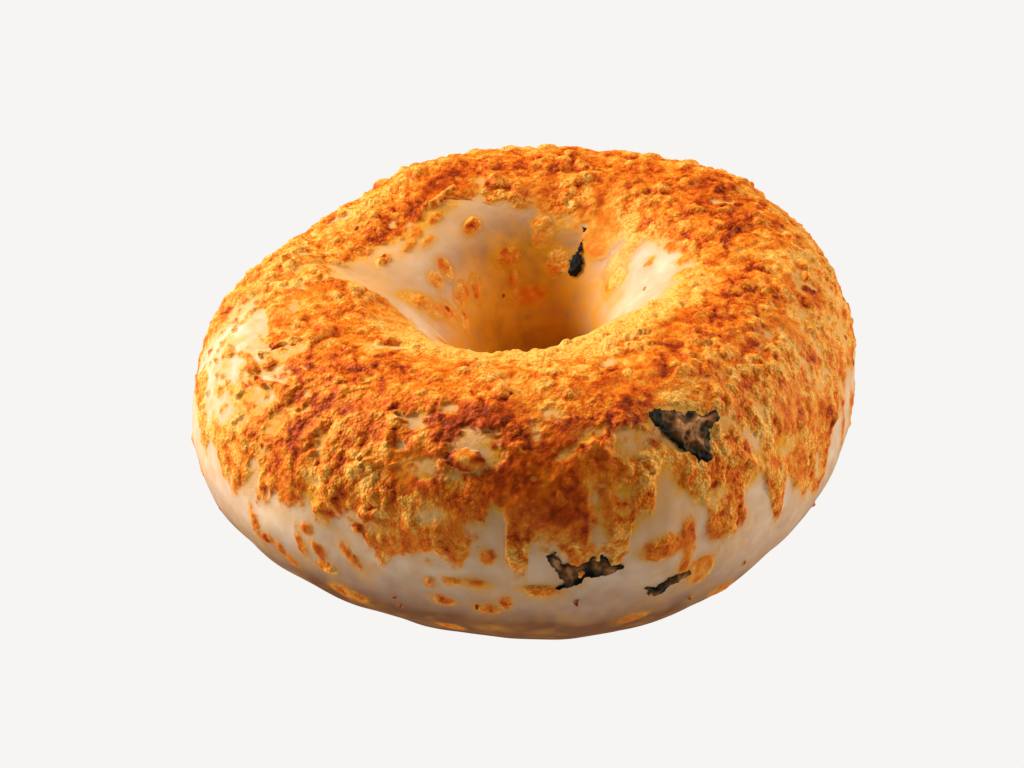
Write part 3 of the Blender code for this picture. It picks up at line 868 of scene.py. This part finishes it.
thinned -= HOLE_THINNED * soft_step(section - HOLE_SECTION, 4)
relief = FILM_HEIGHT * np.clip((depth_in - FILM_EDGE) / 0.4, -1, 1)
relief += thinned * (layer * (1 + 0.5 * lumps) + inside * crust)
lump_around, lump_section, lump_long, lump_high, lump_height = BIG_LUMP
lump_across = angle_from(around, lump_around) * around_length / lump_long + 0.12 * warp[0]
lump_up = (section - lump_section) * section_length / lump_high + 0.15 * warp[1]
big_lump = np.sqrt(np.maximum(0, 1 - lump_across ** 2 - lump_up ** 2))
relief = np.maximum(relief, (big_lump > 0) * (lump_height * big_lump + 0.16 * beads + 0.1 * warp[1]))
depth_in = np.where(big_lump > 0, np.maximum(depth_in, CLOSED_DEPTH), depth_in)

# How brown each point is, from 0 to 1: thick lumps toast and thin edges stay golden; tips are painted paler
# as highlight, hollows darker as painted shade, and beads in the melt paler as painted glints
BASE_BROWN = 0.40
PATCHES_BROWN = 0.18
PATCHES_LOST_IN_MELT = 0.12
PATCHES_BROWN_SIZE = 4.2
SPECKLES_BROWN = 0.03
SPECKLES_BROWN_ROUGH = 0.18
SPECKLES_SIZE = 1.2
MELT_STREAKS_BROWN = 0.10
MELT_STREAKS_SQUEEZE = np.array((1, 1, 0.3))
# Painted glints on the beads of the melt
MELT_BEAD_PAINTED_GLINTS = 0.22
LUMPS_BROWN = 0.15
STRANDS_BROWN = 0.05
NODULES_BROWN = 0.30
MELT_BROWN = 0.08
# Painted highlight on the crust's tips and painted shade in its hollows
PAINTED_TIP_LIGHT_HOLLOW_SHADE = 0.05
PAINTED_TIP_LIGHT_HOLLOW_SHADE_ROUGH = 0.20
TIP_HEIGHT = 0.26
CRUMBS_BROWN = 0.8
SIDES_BROWN = 0.10
SIDES_BROWN_SECTION = 34
LEAST_BROWN = 0.22
MOST_BROWN = 0.95
EDGES_PALE = 0.12
EDGES_PALE_REACH = 0.6
browning = BASE_BROWN + ((PATCHES_BROWN - PATCHES_LOST_IN_MELT * melted)
                         * unevenness(bare, PATCHES_BROWN_SIZE, 111, layers=2))
browning += (SPECKLES_BROWN + SPECKLES_BROWN_ROUGH * rough) * unevenness(bare, SPECKLES_SIZE, 113, layers=2)
browning += MELT_STREAKS_BROWN * melted * unevenness(bare * MELT_STREAKS_SQUEEZE, SPECKLES_SIZE, 117)
# Painted glints: the beads in the melt made paler
browning -= MELT_BEAD_PAINTED_GLINTS * melted * np.clip(2 * beads * bead_number - 0.9, 0, 1)
browning += placed(TOASTED, *net)
browning -= placed(GOLDEN, *net)
browning += LUMPS_BROWN * lumps + STRANDS_BROWN * strand_tone * (strand_height > 0.05)
browning += NODULES_BROWN * (nodule_number - 0.5) * rough + MELT_BROWN * melted
# Painted highlight on the tips of the crust and painted shade in its hollows
browning -= (PAINTED_TIP_LIGHT_HOLLOW_SHADE + PAINTED_TIP_LIGHT_HOLLOW_SHADE_ROUGH * rough) * np.clip((crust - TIP_HEIGHT) / 0.3, -1, 1)
browning += CRUMBS_BROWN * (placed(CRUMBS, *net) > 0.5)
browning += SIDES_BROWN * soft_step(SIDES_BROWN_SECTION - section, 6)
browning = np.clip(browning, LEAST_BROWN, MOST_BROWN)
browning -= EDGES_PALE * np.exp(-np.maximum(depth_in, 0) / EDGES_PALE_REACH)

# The big lump is browner round its foot and nearly black at its left end
LUMP_FOOT_BROWN = 0.82
LUMP_TOP_PALE = 0.30
LUMP_SPECKLES = 0.25
LUMP_END_BROWN = 0.5
LUMP_END = 0.62
LUMP_MELTED = 0.8
lump_tone = LUMP_FOOT_BROWN - LUMP_TOP_PALE * big_lump + LUMP_SPECKLES * unevenness(bare, 1.0, 119)
lump_tone += LUMP_END_BROWN * soft_step(-lump_across - LUMP_END, 0.06)
browning = np.where(big_lump > 0, lump_tone, browning)
melted = np.where(big_lump > 0, LUMP_MELTED, melted)

FLAKE_REACH = 12
for around_one, section_one, around_two, section_two, half_wide, height, tone in FLAKES:
    across = angle_from(around, around_one) * around_length
    up = (section - section_one) * section_length
    near = np.flatnonzero((np.abs(across) < FLAKE_REACH) & (np.abs(up) < FLAKE_REACH))
    across, up = across[near] + warp[0, near], up[near] + warp[1, near]
    end_across = angle_from(around_two, around_one) * around_length[near]
    end_up = (section_two - section_one) * section_length[near]
    share = np.clip((across * end_across + up * end_up) / (end_across ** 2 + end_up ** 2), 0, 1)
    bulge = domes(np.hypot(across - share * end_across, up - share * end_up), half_wide)
    relief[near] += height * bulge
    # In the cracks the dark tone is painted shade
    browning[near] = np.where(bulge > 0, browning[near] * (1 - bulge) + tone * bulge, browning[near])
    depth_in[near] = np.where(bulge > 0.3, np.maximum(depth_in[near], CLOSED_DEPTH), depth_in[near])
browning = np.clip(browning, 0, 1)
skin = bare + out * (dimples(bare) + relief)[:, None]
# The same tint of fat and painted glow for the dough that shows at the crust's edges
film = film_of_fat_and_glow(bare, around, section, depth_in)
cover = np.clip((depth_in - FILM_EDGE) / 2.0, 0, 1)
# The same brown and painted shade for the dough that shows at the crust's edges
crusted = dough_brown_and_shade(around, section)

FILM_MARGIN = 0.2
shown = depth_in > FILM_EDGE - FILM_MARGIN
triangles = net_triangles(cheese_rows, starts)
triangles = triangles[shown[triangles].any(axis=1)]
facing = smooth_normals(skin, triangles)

CURD_SCALE = 900.0
GRAIN_SCALE = 2100.0
GRAIN_MEAN = 0.45
CURD_BROWN = 0.34
CURD_BROWN_LOST_IN_MELT = 0.24
# The grains' painted highlight on their tips and painted shade between them
GRAIN_PAINTED_LIGHT_AND_SHADE = 0.56
GRAIN_PAINTED_LIGHT_AND_SHADE_LOST_WHERE_BROWN = 0.36
GRAIN_PAINTED_LIGHT_AND_SHADE_LOST_IN_MELT = 0.30
cheese_finish = Finish("browned_cheese")
# This field holds the real brown of the cheese together with the painted highlights, glints and shade worked
# out above
brown, smooth, covered = (cheese_finish.field(name) for name in ("browning", "melted", "cover"))
curds = cheese_finish.noise(CURD_SCALE, 1.5)
grains = cheese_finish.node("ShaderNodeTexVoronoi", {}, {
    "Vector": cheese_finish.place(), "Scale": GRAIN_SCALE}, "Distance")
painted = dough_paint(cheese_finish)[0]
curd_tone = (curds - 0.5) * (CURD_BROWN - smooth * CURD_BROWN_LOST_IN_MELT)
# Grain tips painted paler as highlight, and the gaps between them darker as painted shade
grain_painted_light_and_shade = (grains - GRAIN_MEAN) * (
    GRAIN_PAINTED_LIGHT_AND_SHADE - brown * GRAIN_PAINTED_LIGHT_AND_SHADE_LOST_WHERE_BROWN - smooth * GRAIN_PAINTED_LIGHT_AND_SHADE_LOST_IN_MELT)
# The cheese colour, with the painted highlights and shade of its tips, grains, hollows and cracks
baked_and_painted_light = cheese_finish.ramp(
    brown + curd_tone + grain_painted_light_and_shade,
    (0.00, colour(250, 202, 122)),
    (0.16, colour(245, 184, 88)),
    (0.34, colour(236, 153, 54)),
    (0.52, colour(226, 123, 27)),
    (0.70, colour(210, 96, 18)),
    (0.86, colour(178, 66, 12)),
    (1.00, colour(124, 42, 8)),
)
speckled = (covered - 0.5) * 2.0 + (curds - 0.5) * 2.2 - (grains - GRAIN_MEAN) * 0.6 + 0.5
cheese_finish.coat(
    Base_Color=cheese_finish.mix(speckled, painted, baked_and_painted_light),
    Roughness=0.50 - smooth * covered * 0.08 + (curds - 0.5) * 0.2,
    Normal=cheese_finish.bump(0.65, grains * covered * (smooth - 1.3)),
    Specular_IOR_Level=0.07,
)

middle = around[triangles[:, 0]]
for name, start in (("cheese_right", -45), ("cheese_back", 45), ("cheese_left", 135), ("cheese_front", 225)):
    mine = ((middle - start) % 360) < 90
    piece = skin_object(name, skin, triangles[mine], facing, (
        ("browning", browning), ("melted", melted), ("cover", cover), ("oiled", film), ("crusted", crusted)))
    piece.data.materials.append(cheese_finish.material)
    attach(piece, "root")

# The leaf scraps: torn bits of herb leaf that dried and crumpled in the oven, nearly black with olive and
# rust-brown patches, their raised folds painted paler as a highlight, and held by the cheese that ran over
# their edges. Each is one thin creased sheet with a torn outline, laid in the bed that the crust leaves for
# it.

LEAF_CELL = 0.16
LEAF_THICKNESS = 0.22
LEAF_MARGIN = 0.4
LEAF_FOOT = 0.15
TORN_DEPTH = 0.35
TORN_SIZE = 0.8
CREASE_SIZE = 3.2
CREASE_SHARE = 0.50
SMALL_CREASE_SIZE = 1.3
SMALL_CREASE_SHARE = 0.22
WAVE_SIZE = 1.5
WAVE_SHARE = 0.22
EDGE_PRESSED = 0.75
EDGE_PRESSED_REACH = 0.7
MIDDLE_BROWN = 0.8
EDGE_DARK = 0.4
VEIN_SCALE = 900.0
LEAF_PATCH_SCALE = 330.0
# How strongly the leaf tone, with its painted highlight on raised folds, moves the colour
FOLD_LIGHT_AND_TONE_SHARE = 0.34
PATCH_TONE = 1.6
VEIN_TONE = 0.4
LEAF_TONE = 0.36
# Each scrap: the node it stands for, place, crumple height, how brown it is, and its torn outline in mm
LEAVES = (
    ("leaf_front_upper", 302.0, 48.0, 1.5, 0.0, (
        (-6.4, 4.4), (-4.6, 5.4), (-2.6, 4.9), (0.4, 3.2), (3.6, 2.9), (6.2, 1.6), (6.6, 0.2), (5.2, -0.4),
        (3.4, -0.8), (2.8, -3.2), (1.6, -6.2), (0.4, -6.0), (-1.2, -3.0), (-3.4, -1.0), (-5.0, 1.4))),
    ("leaf_front_lower", 279.5, 2.5, 0.9, 0.2, (
        (-6.2, 3.8), (-4.4, 4.6), (-3.2, 2.4), (-0.6, 1.4), (1.6, 3.6), (3.2, 3.4), (4.2, 1.4), (6.6, 0.9),
        (6.8, -0.2), (3.4, -0.8), (0.6, -1.0), (-1.4, -2.2), (-3.4, -3.4), (-4.4, -3.0), (-3.0, -1.4),
        (-4.6, 1.0))),
    ("leaf_front_right", 294.8, -9.5, 0.7, 0.45, (
        (-4.4, 0.6), (-2.2, 0.3), (-0.8, 0.9), (0.4, 1.6), (2.0, 1.4), (4.2, 1.6), (4.4, 0.6), (2.2, 0.2),
        (0.4, -0.4), (-1.6, -1.9), (-2.8, -1.6))),
    ("leaf_in_hole", 68.8, 136.5, 0.5, -1.6, (
        (-1.2, 4.6), (-1.35, 3.2), (-0.9, 1.9), (-0.35, 1.0), (-0.25, -1.5), (0.0, -4.0), (0.6, -3.8),
        (0.45, -1.0), (0.7, 1.3), (1.2, 2.0), (1.5, 3.2), (1.2, 4.7), (0.2, 5.3))),
)


def within(outline, across, up):
    """How far inside a closed outline each point lies, in millimetres; outside it is below nought."""
    corners = np.array(outline)
    nearest = np.full(across.shape, 1e9)
    crossings = np.zeros(across.shape, dtype=int)
    for (x1, y1), (x2, y2) in zip(corners, np.roll(corners, -1, axis=0)):
        share = ((across - x1) * (x2 - x1) + (up - y1) * (y2 - y1)) / ((x2 - x1) ** 2 + (y2 - y1) ** 2)
        share = np.clip(share, 0, 1)
        nearest = np.minimum(nearest, np.hypot(across - x1 - share * (x2 - x1), up - y1 - share * (y2 - y1)))
        spans = (y1 > up) != (y2 > up)
        crossings += spans & (across < (x2 - x1) * (up - y1) / np.where(y2 == y1, 1e-9, y2 - y1) + x1)
    return np.where(crossings % 2 == 1, nearest, -nearest)


leaf_finish = Finish("dried_leaf")
veins = leaf_finish.noise(VEIN_SCALE, 3.0)
patches = leaf_finish.noise(LEAF_PATCH_SCALE, 2.0)
# Raised folds are painted paler as a highlight
leaf_tone = leaf_finish.field("fold") * FOLD_LIGHT_AND_TONE_SHARE + (patches - 0.5) * PATCH_TONE + (veins - 0.5) * VEIN_TONE
leaf_finish.coat(
    Base_Color=leaf_finish.ramp(
        leaf_tone + LEAF_TONE,
        (0.24, colour(12, 10, 8)),
        (0.42, colour(46, 40, 22)),
        (0.56, colour(84, 56, 28)),
        (0.72, colour(122, 72, 34)),
        (0.92, colour(176, 128, 80)),
    ),
    Specular_IOR_Level=0.15,
    Roughness=0.5 + veins * 0.3,
    Normal=leaf_finish.bump(0.6, veins),
)
for order, (name, leaf_around, leaf_section, crumple, brownness, outline) in enumerate(LEAVES):
    corners = np.array(outline)
    low, high = corners.min(axis=0) - LEAF_MARGIN, corners.max(axis=0) + LEAF_MARGIN
    wide, tall = (int(size / LEAF_CELL) + 1 for size in high - low)
    across, up = np.meshgrid(np.linspace(low[0], high[0], wide), np.linspace(low[1], high[1], tall))
    across, up = across.ravel(), up.ravel()
    centre = dough_points(np.array([float(leaf_around)]), np.array([float(leaf_section)]))
    per_around, per_section = lengths_per_degree(centre, np.array([float(leaf_section)]))
    turn, lean = leaf_around + across / per_around[0], leaf_section + up / per_section[0]
    bed = dough_points(turn, lean)
    torn = within(outline, across, up) + TORN_DEPTH * unevenness(bed, TORN_SIZE, 131 + order, layers=2)
    crease = 1 - np.minimum(1, 1.5 * np.abs(unevenness(bed, CREASE_SIZE, 141 + order)))
    small_crease = 1 - np.minimum(1, 1.6 * np.abs(unevenness(bed, SMALL_CREASE_SIZE, 161 + order)))
    wave = unevenness(bed, WAVE_SIZE, 151 + order, layers=2)
    folds = CREASE_SHARE * crease + SMALL_CREASE_SHARE * small_crease + WAVE_SHARE * (1 + wave)
    stand = LEAF_FOOT + crumple * folds
    stand *= 1 - EDGE_PRESSED * np.exp(-np.maximum(torn, 0) / EDGE_PRESSED_REACH)
    points = bed + dough_normals(turn, lean) * stand[:, None]
    grid = np.arange(wide * tall).reshape(tall, wide)
    one, two = grid[:-1, :-1].ravel(), grid[:-1, 1:].ravel()
    three, four = grid[1:, 1:].ravel(), grid[1:, :-1].ravel()
    sheet = np.concatenate([np.stack([one, two, three], -1), np.stack([one, three, four], -1)])
    sheet = sheet[(torn[sheet] > 0).all(axis=1)]
    # The leaf tone: raised folds painted paler as a highlight, then the scrap's own brownness, a browner
    # middle and darker torn edges
    fold = np.clip(stand / crumple, 0, 1) + brownness + MIDDLE_BROWN * np.clip(torn / 2, 0, 1) - EDGE_DARK
    scrap = skin_object(name + "_crumpled", points, sheet, None, (("fold", fold),))
    thickness = scrap.modifiers.new("thickness", "SOLIDIFY")
    thickness.thickness = LEAF_THICKNESS * MILLIMETRE
    thickness.offset = -1
    scrap.data.materials.append(leaf_finish.material)
    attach(scrap, "root")
    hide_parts(name)

# The floor is plain and pale. It is lit like a studio light table, so no shadow falls on it, and it throws
# light up on the bagel's sides; its middle is dark, so that none comes up through the hole.
FLOOR_HALF = 3
GLOW_STEP = 0.010
GLOW_START = 3.2
DARK_MIDDLE = (0.02, 0.02, 0.02, 1.0)
PALE_GLOW = (1.0, 0.98, 0.96, 1.0)
floor_corners = [(x * FLOOR_HALF, y * FLOOR_HALF, 0) for x, y in ((-1, -1), (1, -1), (1, 1), (-1, 1))]
floor_mesh = bpy.data.meshes.new("floor")
floor_mesh.from_pydata(floor_corners, [], [(0, 1, 2, 3)])
floor = bpy.data.objects.new("floor", floor_mesh)
bpy.context.scene.collection.objects.link(floor)
floor_finish = Finish("pale_floor")
away_from_hole = floor_finish.node("ShaderNodeVectorMath", {"operation": "LENGTH"}, {
    0: floor_finish.place()}, "Value")
glow = floor_finish.mix(away_from_hole / GLOW_STEP - GLOW_START, DARK_MIDDLE, PALE_GLOW)
floor_finish.coat(Base_Color=(0.0, 0.0, 0.0, 1.0), Specular_IOR_Level=0.0, Emission_Color=glow,
                  Emission_Strength=0.93)
floor.data.materials.append(floor_finish.material)
floor.visible_glossy = False

world = bpy.data.worlds.new("studio")
world.use_nodes = True
backdrop = world.node_tree.nodes["Background"]
backdrop.inputs["Color"].default_value = (1.0, 0.90, 0.78, 1.0)
backdrop.inputs["Strength"].default_value = 0.04
bpy.context.scene.world = world


SOFT_BOX_WIDTH = 0.35


def soft_light(name, place, power, tint):
    """A square soft box that looks at the bagel, with its place in metres and its power in watts."""
    lamp = bpy.data.lights.new(name, "AREA")
    lamp.size = SOFT_BOX_WIDTH
    lamp.energy = power
    lamp.color = tint
    box = bpy.data.objects.new(name, lamp)
    box.location = place
    box.rotation_euler = (Vector((0, 0, 0.02)) - Vector(place)).to_track_quat("-Z", "Y").to_euler()
    bpy.context.scene.collection.objects.link(box)


soft_light("key_left", (-0.70, 0.26, 0.52), 13, (1.0, 0.97, 0.90))
soft_light("low_left", (-0.88, 0.10, 0.18), 2.4, (1.0, 0.97, 0.90))
soft_light("rim_right", (0.80, 0.28, 0.26), 4.8, (1.0, 0.96, 0.88))
soft_light("top_right", (0.40, 0.16, 0.80), 3.4, (1.0, 0.88, 0.70))

# The camera looks down by about 31 degrees from the front.
CAMERA_ELEVATION = 31.32
CAMERA_DISTANCE = 561.5
CAMERA_TARGET_HEIGHT = 24.0
CAMERA_ROLL = 0.028
LENS = 115.94
SHIFT = (-0.0170, -0.0082)
elevation = math.radians(CAMERA_ELEVATION)
target = Vector((RING_SHIFT[0], RING_SHIFT[1], CAMERA_TARGET_HEIGHT)) * MILLIMETRE
away = Vector((0, -math.cos(elevation), math.sin(elevation)))
lens = bpy.data.cameras.new("camera")
lens.lens = LENS
lens.sensor_width = 36.0
lens.shift_x, lens.shift_y = SHIFT
lens.clip_start = 0.01
camera = bpy.data.objects.new("camera", lens)
camera.location = target + away * CAMERA_DISTANCE * MILLIMETRE
turn = away.to_track_quat("Z", "Y").to_matrix()
right, up = turn.col[0].copy(), turn.col[1].copy()
turn.col[0] = right * math.cos(CAMERA_ROLL) + up * math.sin(CAMERA_ROLL)
turn.col[1] = up * math.cos(CAMERA_ROLL) - right * math.sin(CAMERA_ROLL)
camera.rotation_euler = turn.to_euler()
bpy.context.scene.collection.objects.link(camera)
bpy.context.scene.camera = camera
bpy.context.scene.view_settings.view_transform = "Standard"
